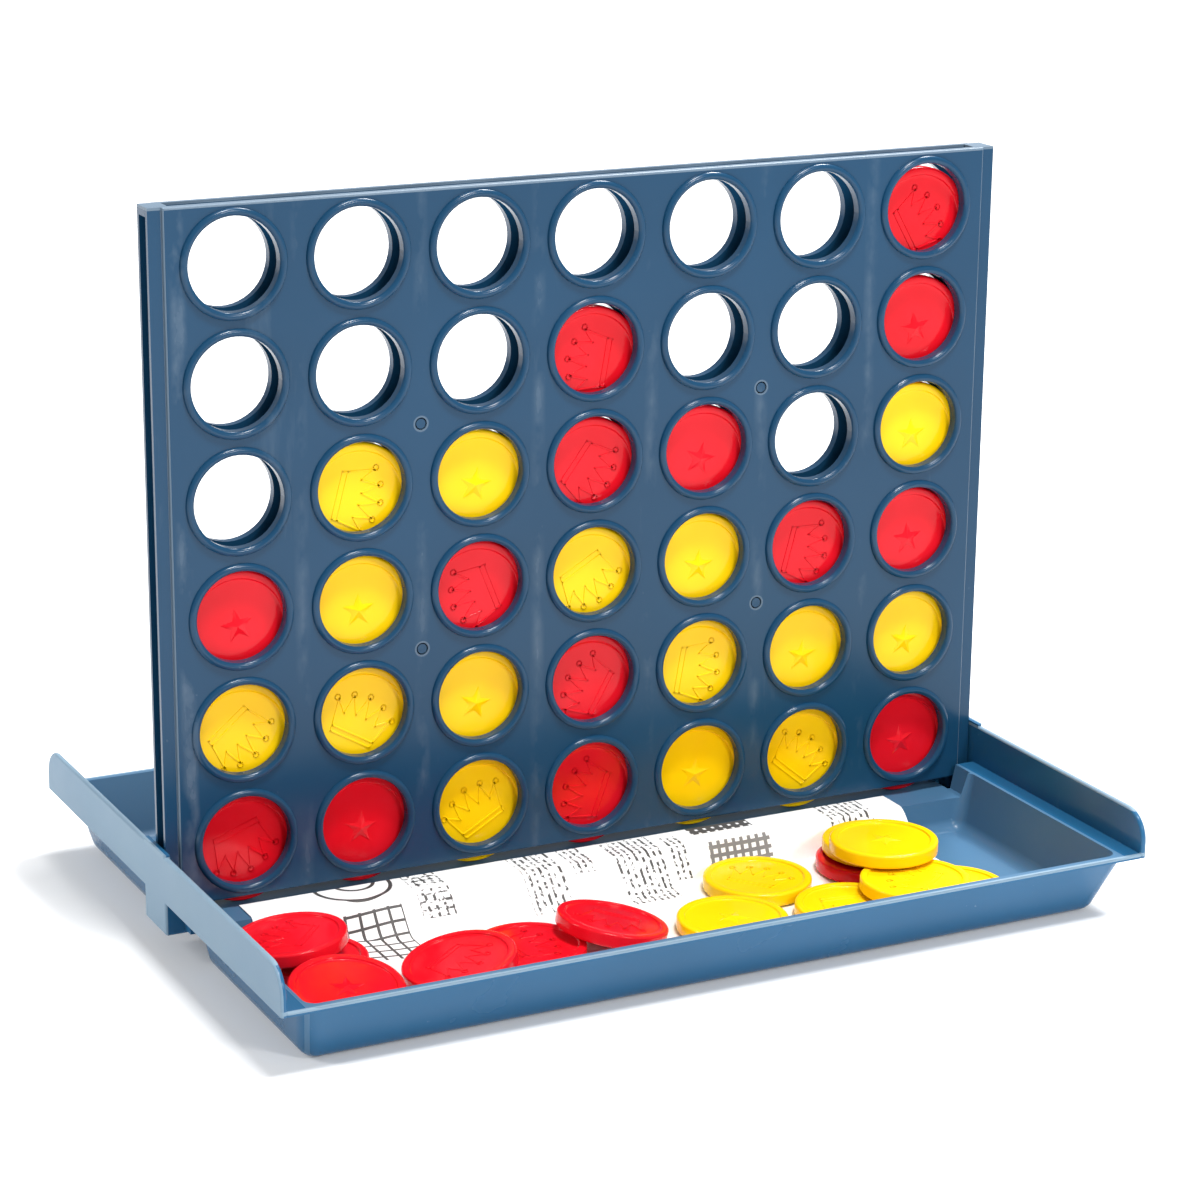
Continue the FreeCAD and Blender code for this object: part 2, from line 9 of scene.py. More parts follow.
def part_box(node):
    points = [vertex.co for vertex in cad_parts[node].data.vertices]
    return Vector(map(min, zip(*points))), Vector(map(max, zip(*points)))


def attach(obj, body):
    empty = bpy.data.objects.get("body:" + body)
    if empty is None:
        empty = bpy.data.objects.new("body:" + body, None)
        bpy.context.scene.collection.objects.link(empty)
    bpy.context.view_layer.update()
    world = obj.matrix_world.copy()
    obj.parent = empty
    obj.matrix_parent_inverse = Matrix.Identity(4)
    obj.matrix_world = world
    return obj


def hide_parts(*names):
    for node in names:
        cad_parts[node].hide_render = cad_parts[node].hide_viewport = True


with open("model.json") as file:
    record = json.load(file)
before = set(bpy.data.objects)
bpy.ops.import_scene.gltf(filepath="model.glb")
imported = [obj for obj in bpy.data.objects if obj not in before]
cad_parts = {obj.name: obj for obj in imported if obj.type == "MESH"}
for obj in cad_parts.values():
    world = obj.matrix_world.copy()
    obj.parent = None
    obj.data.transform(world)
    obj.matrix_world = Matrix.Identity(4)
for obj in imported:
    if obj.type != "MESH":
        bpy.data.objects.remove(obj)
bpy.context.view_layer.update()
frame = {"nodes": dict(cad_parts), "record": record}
MM = 0.001
NODES = frame["nodes"]
BODY_OF = {n: b for b, names in frame["record"]["behaviour"]["bodies"].items() for n in names}


# ---------------------------------------------------------------- node helpers
def new_material(name):
    """Material with a bare node tree: returns (material, nodes, links, principled shader)."""
    material = bpy.data.materials.new(name)
    material.use_nodes = True
    tree = material.node_tree
    return material, tree.nodes, tree.links, tree.nodes["Principled BSDF"]


def noise(nodes, links, scale, detail, roughness=0.5, vector=None):
    node = nodes.new("ShaderNodeTexNoise")
    node.inputs["Scale"].default_value = scale
    node.inputs["Detail"].default_value = detail
    node.inputs["Roughness"].default_value = roughness
    if vector is not None:
        links.new(vector, node.inputs["Vector"])
    return node.outputs["Fac"]


def ramp(nodes, links, source, low, high, start=(0, 0, 0, 1), end=(1, 1, 1, 1)):
    node = nodes.new("ShaderNodeValToRGB")
    node.color_ramp.elements[0].position = low
    node.color_ramp.elements[1].position = high
    node.color_ramp.elements[0].color = start
    node.color_ramp.elements[1].color = end
    links.new(source, node.inputs["Fac"])
    return node.outputs["Color"]


def maths(nodes, links, operation, a, b=None, clamp=False):
    node = nodes.new("ShaderNodeMath")
    node.operation = operation
    node.use_clamp = clamp
    for index, item in enumerate((a, b)):
        if item is None:
            continue
        if isinstance(item, (int, float)):
            node.inputs[index].default_value = item
        else:
            links.new(item, node.inputs[index])
    return node.outputs["Value"]


def mix(nodes, links, factor, a, b):
    node = nodes.new("ShaderNodeMix")
    node.data_type = "RGBA"
    for socket, item in ((node.inputs[0], factor), (node.inputs[6], a), (node.inputs[7], b)):
        if isinstance(item, (int, float, tuple)):
            socket.default_value = item
        else:
            links.new(item, socket)
    return node.outputs[2]


def position(nodes, links, scale=(1, 1, 1)):
    """Object coordinates, stretched."""
    coords = nodes.new("ShaderNodeTexCoord")
    mapping = nodes.new("ShaderNodeMapping")
    mapping.inputs["Scale"].default_value = scale
    links.new(coords.outputs["Object"], mapping.inputs["Vector"])
    return mapping.outputs["Vector"]


def bump(nodes, links, height, distance, strength, normal=None):
    node = nodes.new("ShaderNodeBump")
    node.inputs["Distance"].default_value = distance
    node.inputs["Strength"].default_value = strength
    links.new(height, node.inputs["Height"])
    if normal is not None:
        links.new(normal, node.inputs["Normal"])
    return node.outputs["Normal"]


def grey(value):
    """Opaque grey colour."""
    return (value, value, value, 1)


# ---------------------------------------------------------------- masks in millimetres
def axes(nodes, links, source):
    """The three coordinates of a vector output, in millimetres."""
    split = nodes.new("ShaderNodeSeparateXYZ")
    links.new(source, split.inputs["Vector"])
    return [maths(nodes, links, "MULTIPLY", split.outputs[k], 1000.0) for k in range(3)]


def band(nodes, links, value, low, high, soft=0.0):
    """1 between low and high, 0 outside, with an optional soft border."""
    middle, half = 0.5 * (low + high), 0.5 * (high - low)
    distance = maths(nodes, links, "ABSOLUTE", maths(nodes, links, "SUBTRACT", value, middle))
    if not soft:
        return maths(nodes, links, "LESS_THAN", distance, half)
    left = maths(nodes, links, "SUBTRACT", half, distance)
    return maths(nodes, links, "DIVIDE", left, soft, clamp=True)


def both(nodes, links, a, b):
    return maths(nodes, links, "MULTIPLY", a, b)


def either(nodes, links, a, b):
    return maths(nodes, links, "MAXIMUM", a, b)


def away(nodes, links, a, b):
    """Distance from the middle, for two outputs at right angles."""
    square = maths(nodes, links, "ADD", both(nodes, links, a, a), both(nodes, links, b, b))
    return maths(nodes, links, "SQRT", square)


def stripes(nodes, links, value, pitch, share):
    """1 on the first share of every pitch."""
    phase = maths(nodes, links, "FRACT", maths(nodes, links, "DIVIDE", value, pitch))
    return maths(nodes, links, "LESS_THAN", phase, share)


# ---------------------------------------------------------------- materials
PLASTIC_IOR = 1.5
# places on the grid panel's face, in millimetres
COLUMN_PITCH = 33.4
RIBS_END = 110
PEG_X, PEG_MIDDLE, PEG_RISE = 50.1, 104.85, 30.3
PEG_COLLAR = (1.45, 2.25, 0.25)
SCUFFED_BORDER = (-117.5, -112.5, 1.5)
# bands along the panel's top and side edges that get a painted highlight
PANEL_TOP_EDGE = (195.2, 196.0)
PANEL_SIDE_EDGE = (118.0, 118.6)
# places on the tray, in millimetres
# beyond this the outsides of the flanges get a painted sheen
FLANGE_OUTSIDE = 123.4
# bands along the rim's lip and the flange tops that get a painted highlight
RIM_LIP, LIP_AWAY = (17.3, 18.3), 88.1
FLANGE_EDGE = (28.5, 29.3)
# above this height, and within the tubs' walls, the insides are painted paler as painted light
UNDERSIDE = 1.0
# middle of a tub's wall: (share by which it leans out, distance from the middle at its foot) in x and y
WALL_X, WALL_Y = (0.2, 113.85), (0.528, 78.55)


def blue_plastic(name, colour):
    """Semi-gloss blue moulding: cloudy colour, fine scuffs, orange-peel bump.

    Returns the material, its nodes, links and shader, the colour output, the mask of scuffs and specks that
    later also carries painted light, and the coordinates in millimetres, so that each moulding can add its
    own marks and painted light.
    """
    material, nodes, links, shader = new_material(name)
    where = position(nodes, links)
    cloud = noise(nodes, links, 14.0, 3.0, vector=where)
    darker = tuple(0.86 * c for c in colour[:3]) + (1,)
    tone = ramp(nodes, links, cloud, 0.35, 0.7, darker, colour)
    streaks = noise(nodes, links, 60.0, 6.0, 0.65, position(nodes, links, (1.0, 1.0, 0.15)))
    scuff = ramp(nodes, links, streaks, 0.64, 0.80)
    speck = ramp(nodes, links, noise(nodes, links, 420.0, 2.0, vector=where), 0.74, 0.84)
    wear_and_painted_light = maths(nodes, links, "MULTIPLY", either(nodes, links, scuff, speck), 0.10)
    peel = noise(nodes, links, 900.0, 2.0, vector=where)
    slow = noise(nodes, links, 28.0, 2.0, vector=where)
    wavy = bump(nodes, links, slow, 0.0012, 0.12)
    links.new(bump(nodes, links, peel, 0.00004, 0.2, wavy), shader.inputs["Normal"])
    shader.inputs["IOR"].default_value = PLASTIC_IOR
    shader.inputs["Specular IOR Level"].default_value = 0.28
    return material, nodes, links, shader, tone, wear_and_painted_light, axes(nodes, links, where)


def finish_plastic(nodes, links, shader, tone, wear_and_painted_light, pale, smooth, dull):
    """Join colour, the mask of scuffs, marks and painted light, and roughness to the shader."""
    links.new(mix(nodes, links, wear_and_painted_light, tone, pale), shader.inputs["Base Color"])
    patch = noise(nodes, links, 35.0, 4.0, vector=position(nodes, links))
    rough = ramp(nodes, links, patch, 0.3, 0.75, grey(smooth), grey(dull))
    wear_and_light_roughness = maths(nodes, links, "MULTIPLY", wear_and_painted_light, 0.6)
    links.new(maths(nodes, links, "ADD", rough, wear_and_light_roughness), shader.inputs["Roughness"])


def panel_plastic():
    """Grid panel: pale sink marks over the ribs, peg collars, a scuffed left border and a painted highlight
    along the top and side edges.
    """
    # painted shade: the panel is the same blue plastic as the tray, given a darker blue for the weaker light
    # on its face
    blue = (0.008, 0.052, 0.115, 1)
    pale = (0.36, 0.44, 0.50, 1)
    material, nodes, links, shader, tone, wear_and_painted_light, (x, _, z) = blue_plastic("panel_blue", blue)
    from_middle = maths(nodes, links, "ABSOLUTE", x)

    shifted = maths(nodes, links, "ADD", x, 0.5 * COLUMN_PITCH)
    columns = maths(nodes, links, "DIVIDE", shifted, COLUMN_PITCH)
    nearest = maths(nodes, links, "ROUND", columns)
    phase = maths(nodes, links, "ABSOLUTE", maths(nodes, links, "SUBTRACT", columns, nearest))
    fade = maths(nodes, links, "DIVIDE", phase, 0.07)
    over_rib = maths(nodes, links, "SUBTRACT", 1.0, fade, clamp=True)
    stretched = position(nodes, links, (1, 1, 0.5))
    blotch = ramp(nodes, links, noise(nodes, links, 90.0, 4.0, 0.6, stretched), 0.50, 0.74)
    ribs = band(nodes, links, x, -RIBS_END, RIBS_END)
    sink = both(nodes, links, both(nodes, links, over_rib, blotch), ribs)
    sink = maths(nodes, links, "MULTIPLY", sink, 0.16)

    border = both(nodes, links, band(nodes, links, x, *SCUFFED_BORDER), blotch)
    aside = maths(nodes, links, "SUBTRACT", from_middle, PEG_X)
    height = maths(nodes, links, "ABSOLUTE", maths(nodes, links, "SUBTRACT", z, PEG_MIDDLE))
    upward = maths(nodes, links, "SUBTRACT", height, PEG_RISE)
    collar = band(nodes, links, away(nodes, links, aside, upward), *PEG_COLLAR)
    scuffs = maths(nodes, links, "MULTIPLY", either(nodes, links, border, collar), 0.22)

    # painted highlight: thin pale lines along the panel's top edge and side edges, joined with the scuffs
    # into the marks
    top = band(nodes, links, z, *PANEL_TOP_EDGE)
    edge = either(nodes, links, top, band(nodes, links, from_middle, *PANEL_SIDE_EDGE))
    edge_highlight = maths(nodes, links, "MULTIPLY", edge, 0.30)
    marks = either(nodes, links, scuffs, edge_highlight)
    wear_and_painted_light = either(nodes, links, wear_and_painted_light, either(nodes, links, sink, marks))
    finish_plastic(nodes, links, shader, tone, wear_and_painted_light, pale, 0.17, 0.27)
    return material


def tray_plastic():
    """Tray: painted sheen on the outsides of the flanges, painted highlights along the rim's lip and the
    flange tops, and the tubs' insides painted slightly paler as painted light.
    """
    # painted light: the tray is the same blue plastic as the panel, given a lighter blue for the stronger
    # light on its walls and floor
    blue = (0.017, 0.110, 0.235, 1)
    pale = (0.34, 0.44, 0.50, 1)
    material, nodes, links, shader, tone, wear_and_painted_light, (x, y, z) = blue_plastic("tray_blue", blue)
    away_x = maths(nodes, links, "ABSOLUTE", x)
    away_y = maths(nodes, links, "ABSOLUTE", y)

    # painted sheen: the outsides of the flanges paler in patches, for the light from the left glancing off
    # them
    outside = maths(nodes, links, "GREATER_THAN", away_x, FLANGE_OUTSIDE)
    patches = noise(nodes, links, 18.0, 3.0, vector=position(nodes, links))
    cloud = ramp(nodes, links, patches, 0.2, 0.8, grey(0.34), grey(0.60))
    wear_and_painted_light = either(nodes, links, wear_and_painted_light, both(nodes, links, outside, cloud))

    # painted highlight: thin pale lines along the rim's lip and the tops of the flanges
    far = maths(nodes, links, "GREATER_THAN", away_y, LIP_AWAY)
    lip = both(nodes, links, band(nodes, links, z, *RIM_LIP), far)
    edge = either(nodes, links, lip, band(nodes, links, z, *FLANGE_EDGE))
    wear_and_painted_light = either(nodes, links, wear_and_painted_light, maths(nodes, links, "MULTIPLY", edge, 0.55))

    # painted light: the floors and walls inside the tubs painted slightly paler, for the light falling into
    # them
    inside = maths(nodes, links, "GREATER_THAN", z, UNDERSIDE)
    for distance, (lean, foot) in ((away_x, WALL_X), (away_y, WALL_Y)):
        leaned = maths(nodes, links, "MULTIPLY", z, lean)
        from_foot = maths(nodes, links, "SUBTRACT", distance, leaned)
        inside = both(nodes, links, inside, maths(nodes, links, "LESS_THAN", from_foot, foot))
    wear_and_painted_light = either(nodes, links, wear_and_painted_light, maths(nodes, links, "MULTIPLY", inside, 0.14))
    finish_plastic(nodes, links, shader, tone, wear_and_painted_light, pale, 0.20, 0.30)
    return material


def disc_plastic(name, colour, deep):
    """Glossy coloured plastic of a playing disc, a little wavy."""
    material, nodes, links, shader = new_material(name)
    where = position(nodes, links)
    cloud = noise(nodes, links, 45.0, 3.0, vector=where)
    links.new(ramp(nodes, links, cloud, 0.3, 0.7, deep, colour), shader.inputs["Base Color"])
    patches = noise(nodes, links, 160.0, 3.0, vector=where)
    links.new(ramp(nodes, links, patches, 0.35, 0.75, grey(0.10), grey(0.22)), shader.inputs["Roughness"])
    ripple = noise(nodes, links, 240.0, 2.0, vector=where)
    swell = noise(nodes, links, 75.0, 1.0, vector=where)
    wavy = bump(nodes, links, swell, 0.0006, 0.25)
    links.new(bump(nodes, links, ripple, 0.00005, 0.3, wavy), shader.inputs["Normal"])
    shader.inputs["IOR"].default_value = PLASTIC_IOR
    shader.inputs["Specular IOR Level"].default_value = 0.2
    return material


# generic print on the sheet, in its flat millimetres; a box is (x from, x to, y from, y to)
PRINT_SHIFT = 7.5
PARAGRAPHS = ((-26.0, -14.0, -2.0, 22.0), (-11.0, -4.0, -2.0, 12.0), (1.0, 16.0, -1.0, 26.0),
              (19.0, 24.0, 2.0, 18.0), (70.0, 84.0, -2.0, 14.0))
LINE_PITCH, LINE_SHARE = 1.9, 0.42
# rings: (middle x, middle y, radius in x, radius in y, share of the radius that is inked)
RINGS = ((-71.0, -1.5, 11.0, 10.5, 0.10), (-70.0, -3.0, 6.0, 5.5, 0.18))
GRID_PICTURE = (-78.0, -62.0, 11.5, 34.0)
GLYPH_X, GLYPH_LOWS, GLYPH_HEIGHT = (-57.0, -47.5), (-2.0, 8.5), 8.5
FAINT_PICTURE = (31.0, 50.0, 8.5, 18.0)
DARK_STRIP = (29.0, 48.0, -3.5, 3.5)
INK = (0.035, 0.032, 0.030, 1)


def paper():
    """Thin white sheet with generic print: rings, grid pictures and rows of dashes, no words.

    The print lies in the sheet's own flat coordinates: x across it and y along its length from
    the edge of the bridge, in millimetres.
    """
    material, nodes, links, shader = new_material("paper")
    where = position(nodes, links)
    flat = nodes.new("ShaderNodeUVMap")
    flat.uv_map = "flat"
    x, y = axes(nodes, links, flat.outputs["UV"])[:2]
    y = maths(nodes, links, "ADD", y, PRINT_SHIFT)
    fibre = noise(nodes, links, 500.0, 4.0, vector=where)
    white = ramp(nodes, links, fibre, 0.3, 0.7, (0.90, 0.89, 0.88, 1), (0.96, 0.95, 0.94, 1))
    gaps = ramp(nodes, links, noise(nodes, links, 700.0, 1.0, vector=flat.outputs["UV"]), 0.46, 0.52)

    def within(x0, x1, y0, y1):
        return both(nodes, links, band(nodes, links, x, x0, x1), band(nodes, links, y, y0, y1))

    def paragraph(box):
        return both(nodes, links, within(*box), stripes(nodes, links, x, LINE_PITCH, LINE_SHARE))

    def ring(cx, cy, rx, ry, width):
        across = maths(nodes, links, "DIVIDE", maths(nodes, links, "SUBTRACT", x, cx), rx)
        along = maths(nodes, links, "DIVIDE", maths(nodes, links, "SUBTRACT", y, cy), ry)
        return band(nodes, links, away(nodes, links, across, along), 1.0 - width, 1.0)

    def lattice(box, pitch, share):
        upright = stripes(nodes, links, x, pitch, share)
        level = stripes(nodes, links, y, pitch, share)
        return both(nodes, links, within(*box), either(nodes, links, upright, level))

    dashes = paragraph(PARAGRAPHS[0])
    for box in PARAGRAPHS[1:]:
        dashes = either(nodes, links, dashes, paragraph(box))
    ink = both(nodes, links, dashes, gaps)
    for circle in RINGS:
        ink = either(nodes, links, ink, ring(*circle))
    ink = either(nodes, links, ink, lattice(GRID_PICTURE, 3.9, 0.20))
    for low in GLYPH_LOWS:
        glyph = lattice(GLYPH_X + (low, low + GLYPH_HEIGHT), 2.4, 0.34)
        ink = either(nodes, links, ink, both(nodes, links, glyph, gaps))

    faint = lattice(FAINT_PICTURE, 2.4, 0.45)
    dots = both(nodes, links, stripes(nodes, links, x, 2.6, 0.32), stripes(nodes, links, y, 2.6, 0.45))
    dark = both(nodes, links, within(*DARK_STRIP), maths(nodes, links, "SUBTRACT", 1.0, dots))
    shade = maths(nodes, links, "MULTIPLY", ink, 0.97)
    for picture, strength in ((faint, 0.82), (dark, 0.94)):
        shade = either(nodes, links, shade, maths(nodes, links, "MULTIPLY", picture, strength))
    links.new(mix(nodes, links, shade, white, INK), shader.inputs["Base Color"])
    shader.inputs["Roughness"].default_value = 0.55
    wave = noise(nodes, links, 22.0, 2.0, vector=where)
    links.new(bump(nodes, links, wave, 0.002, 0.2), shader.inputs["Normal"])
    return material


PANEL = panel_plastic()
TRAY = tray_plastic()
RED = disc_plastic("disc_red", (0.80, 0.008, 0.020, 1), (0.70, 0.004, 0.012, 1))
YELLOW = disc_plastic("disc_yellow", (1.0, 0.66, 0.004, 1), (0.97, 0.58, 0.002, 1))
PAPER = paper()


def material_of(name):
    if name.startswith("Red"):
        return RED
    if name.startswith("Yellow"):
        return YELLOW
    return {"Base_tray": TRAY, "Instruction_sheet": PAPER}.get(name, PANEL)


for name, node in NODES.items():
    node.data.materials.clear()
    node.data.materials.append(material_of(name))


# ---------------------------------------------------------------- mesh helpers
def mesh_object(name, vertices, faces, material, body, replaced, sharp=30.0, flat_from=None):
    """Mesh piece in the row frame; faces from index flat_from on are flat shaded."""
    mesh = bpy.data.meshes.new(name)
    mesh.from_pydata([tuple(v) for v in vertices], [], faces)
    mesh.validate()
    smooth = [flat_from is None or k < flat_from for k in range(len(mesh.polygons))]
    mesh.polygons.foreach_set("use_smooth", smooth)
    mesh.set_sharp_from_angle(angle=math.radians(sharp))
    mesh.materials.append(material)
    piece = bpy.data.objects.new(name, mesh)
    bpy.context.scene.collection.objects.link(piece)
    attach(piece, body)
    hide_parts(replaced)
    return piece


def arc(x, z, radius, start, stop, steps):
    """Points of an arc in a half section, angles in degrees from the +radius direction."""
    angles = [math.radians(start + (stop - start) * k / steps) for k in range(steps + 1)]
    return [(x + radius * math.cos(a), z + radius * math.sin(a)) for a in angles]


# ---------------------------------------------------------------- discs
low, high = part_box("Red_disc_column_1_row_1")
DISC_RADIUS = 0.5 * (high.x - low.x)
DISC_HALF = 0.5 * (high.y - low.y)
WEB_HALF = DISC_HALF - 0.6 * MM
RIM_INSIDE = DISC_RADIUS - 1.9 * MM
DISC_SEGMENTS = 96
# the figures go this far down into the disc
SUNK = WEB_HALF - 0.3 * MM


def disc_section():
    """Half section of one face: from near the middle, up over the raised rim, to the outer wall."""
    fillet, crest, corner = 0.35 * MM, 0.25 * MM, 0.7 * MM
    wall = RIM_INSIDE - crest
    section = [(radius, WEB_HALF) for radius in (3.0 * MM, 8.0 * MM, wall - 1.2 * MM)]
    section += arc(wall - fillet, WEB_HALF + fillet, fillet, -90, 0, 4)
    section += arc(wall + crest, DISC_HALF - crest, crest, 180, 90, 3)
    section += arc(DISC_RADIUS - corner, DISC_HALF - corner, corner, 90, 0, 5)
    return section


def disc_shell():
    """Vertices and faces of the plain disc about +Z, before its figures are added."""
    upper = disc_section()
    section = upper + [(r, -z) for r, z in reversed(upper)]
    vertices, faces = [Vector((0, 0, WEB_HALF))], []
    for radius, height in section:
        for k in range(DISC_SEGMENTS):
            a = 2 * math.pi * k / DISC_SEGMENTS
            vertices.append(Vector((radius * math.cos(a), radius * math.sin(a), height)))
    vertices.append(Vector((0, 0, -WEB_HALF)))
    last = len(vertices) - 1
    for k in range(DISC_SEGMENTS):
        n = (k + 1) % DISC_SEGMENTS
        faces.append((0, 1 + k, 1 + n))
        for ring in range(len(section) - 1):
            a, b = 1 + ring * DISC_SEGMENTS, 1 + (ring + 1) * DISC_SEGMENTS
            faces.append((a + k, b + k, b + n, a + n))
        base = 1 + (len(section) - 1) * DISC_SEGMENTS
        faces.append((base + n, base + k, last))
    return vertices, faces


def star_figure():
    """Closed five-pointed star with ten sloping facets, standing on the web about +Z."""
    reach, waist = 4.7 * MM, 1.9 * MM
    peak, edge = WEB_HALF + 0.62 * MM, WEB_HALF + 0.06 * MM
    rim = []
    for k in range(10):
        radius = reach if k % 2 == 0 else waist
        a = math.radians(90 + 36 * k)
        rim.append(Vector((radius * math.cos(a), radius * math.sin(a), 0)))
    vertices = [Vector((0, 0, peak))] + [Vector((p.x, p.y, edge)) for p in rim]
    vertices += [Vector((p.x, p.y, SUNK)) for p in rim]
    faces = [(0, 1 + k, 1 + (k + 1) % 10) for k in range(10)]
    faces += [(11 + k, 11 + (k + 1) % 10, 1 + (k + 1) % 10, 1 + k) for k in range(10)]
    faces.append(tuple(range(20, 10, -1)))
    return vertices, faces


CROWN_LINES = [
    [(-6.3, -5.6), (6.3, -5.6)],
    [(-6.3, -5.6), (-6.5, -4.1), (6.5, -4.1), (6.3, -5.6)],
    [(-6.5, -4.1), (-8.2, 3.0), (-5.0, 0.1), (-4.4, 5.2), (-1.6, 0.9), (0.0, 6.3),
     (1.6, 0.9), (4.4, 5.2), (5.0, 0.1), (8.2, 3.0), (6.5, -4.1)],
]
CROWN_TIPS = [(-8.2, 3.0), (-4.4, 5.2), (0.0, 6.3), (4.4, 5.2), (8.2, 3.0)]
LINE_WIDTH, RING_WIDTH, RING_RADIUS, RIDGE_HEIGHT = 0.80 * MM, 0.55 * MM, 0.75 * MM, 0.17 * MM


def ridge(a, b, width):
    """Closed bar with a sloping section from a to b on the web, ends slightly overrunning."""
    along = (b - a).normalized()
    side = Vector((-along.y, along.x, 0))
    a, b = a - along * 0.35 * width, b + along * 0.35 * width
    sunk, top = Vector((0, 0, SUNK)), Vector((0, 0, WEB_HALF + RIDGE_HEIGHT))
    vertices = []
    for p in (a, b):
        vertices += [p - side * 0.5 * width + sunk, p + side * 0.5 * width + sunk,
                     p + side * 0.22 * width + top, p - side * 0.22 * width + top]
    faces = [(3, 2, 1, 0), (4, 5, 6, 7), (0, 1, 5, 4), (1, 2, 6, 5), (2, 3, 7, 6), (3, 0, 4, 7)]
    return vertices, faces


def crown_figure():
    """Crown drawn with raised lines and a small ring on each tip."""
    vertices, faces = [], []

    def add(part):
        start = len(vertices)
        vertices.extend(part[0])
        faces.extend(tuple(start + i for i in face) for face in part[1])

    for line in CROWN_LINES:
        points = [Vector((x * MM, y * MM, 0)) for x, y in line]
        for a, b in zip(points, points[1:]):
            add(ridge(a, b, LINE_WIDTH))
    for x, y in CROWN_TIPS:
        centre = Vector((x * MM, y * MM, 0)) * 1.07
        angles = [math.radians(45 * k) for k in range(8)]
        ring = [centre + Vector((math.cos(a), math.sin(a), 0)) * RING_RADIUS for a in angles]
        for k in range(8):
            add(ridge(ring[k], ring[(k + 1) % 8], RING_WIDTH))
    return vertices, faces


SHELL, STAR, CROWN = disc_shell(), star_figure(), crown_figure()


# degrees between a disc's two figures, and from one loose disc to the next
HIDDEN_TURN, LOOSE_TURN = 71.0, 67.0


def figure_frame(normal, up):
    """Rotation that takes +Z to normal and +Y to up."""
    normal = normal.normalized()
    up = (up - normal * up.dot(normal)).normalized()
    across = up.cross(normal)
    return Matrix((across, up, normal)).transposed()


def face_normal(node, towards):
    """Direction of a CAD disc's flat face that looks most nearly towards a direction."""
    mesh = node.data
    total = Vector()
    best = max(mesh.polygons, key=lambda p: p.area * max(0.0, p.normal.dot(towards)) ** 4).normal.copy()
    for polygon in mesh.polygons:
        if polygon.normal.dot(best) > 0.999:
            total += polygon.normal * polygon.area
    return total.normalized()


def turned(normal, towards, degrees):
    """Direction in a disc's plane, nearest to towards, turned clockwise as seen along the normal."""
    flat = (towards - normal * towards.dot(normal)).normalized()
    return Matrix.Rotation(math.radians(-degrees), 3, normal) @ flat


def detailed_disc(node_name, seen, star_seen, degrees):
    """Detailed disc in place of a CAD disc; seen is the side that the figure's turn is given for."""
    node = NODES[node_name]
    lowest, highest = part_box(node_name)
    centre = 0.5 * (lowest + highest)
    normal = face_normal(node, seen)
    towards = Vector((0, 0, 1)) if abs(normal.z) < 0.5 else Vector((0.45, 0.89, 0))
    shown = figure_frame(normal, turned(normal, towards, degrees))
    hidden = figure_frame(-normal, turned(-normal, towards, HIDDEN_TURN + degrees))
    star, crown = (shown, hidden) if star_seen else (hidden, shown)
    vertices, faces = [], []
    for rotation, (points, polygons) in ((shown, SHELL), (star, STAR), (crown, CROWN)):
        start = len(vertices)
        vertices += [rotation @ p + centre for p in points]
        faces += [tuple(start + i for i in polygon) for polygon in polygons]
    mesh_object("detailed_" + node_name, vertices, faces, material_of(node_name), BODY_OF[node_name],
                node_name, flat_from=len(SHELL[1]))


# turn in degrees of the figure in front, by (column, row)
FIGURE_TURN = {
    (1, 1): 160, (1, 2): 140, (1, 3): -10, (2, 1): 4, (2, 2): 30, (2, 3): 0, (2, 4): 105,
    (3, 1): -30, (3, 2): 12, (3, 3): -112, (3, 4): 10, (4, 1): -70, (4, 2): -60, (4, 3): 150,
    (4, 4): 127, (4, 5): -80, (5, 1): 8, (5, 2): 100, (5, 3): 5, (5, 4): 15, (6, 1): 40,
    (6, 2): 5, (6, 3): 105, (7, 1): -6, (7, 2): 9, (7, 3): -3, (7, 4): 0, (7, 5): -8, (7, 6): 60,
}
STAR_IN_FRONT = {(1, 3), (2, 1), (2, 3), (3, 2), (3, 4), (5, 1), (5, 3), (5, 4),
                 (6, 2), (7, 1), (7, 2), (7, 3), (7, 4), (7, 5)}
STAR_UP_LOOSE = {"Red_disc_loose_3", "Red_disc_loose_7", "Yellow_disc_loose_1", "Yellow_disc_loose_2",
                 "Yellow_disc_loose_4"}
for index, name in enumerate(sorted(n for n in NODES if "disc" in n)):
    words = name.split("_")
    if words[2] == "column":
        place = (int(words[3]), int(words[5]))
        detailed_disc(name, Vector((0, -1, 0)), place in STAR_IN_FRONT, FIGURE_TURN[place])
    else:
        detailed_disc(name, Vector((0, 0, 1)), name in STAR_UP_LOOSE, LOOSE_TURN * index % 360)


# ---------------------------------------------------------------- instruction sheet
# where the sheet comes down to the tub's floor, in front of the bridge: (x, -y) in millimetres;
# it comes down close to the bridge where discs lie on it
FOOT_LINE = [(-103.0, 17.2), (-82.0, 17.2), (-64.0, 25.0), (10.0, 26.0), (22.0, 22.0), (30.0, 18.4),
             (43.0, 18.2), (53.0, 20.5), (64.0, 18.8), (72.0, 18.2), (80.0, 18.4), (86.0, 20.0), (94.0, 25.0)]
SHEET_BROW = 13.3
SHEET_THICK = 0.22 * MM
WAVE = 0.012 * MM
ACROSS_STEPS, BRIDGE_STEPS, SLOPE_STEPS, FLOOR_STEPS = 80, 6, 24, 16


def foot_at(x):
    """Distance of the foot from the middle at x, both in millimetres, eased between the stated points."""
    for (x0, f0), (x1, f1) in zip(FOOT_LINE, FOOT_LINE[1:]):
        if x <= x1:
            t = max(0.0, (x - x0) / (x1 - x0))
            return f0 + (f1 - f0) * t * t * (3 - 2 * t)
    return FOOT_LINE[-1][1]


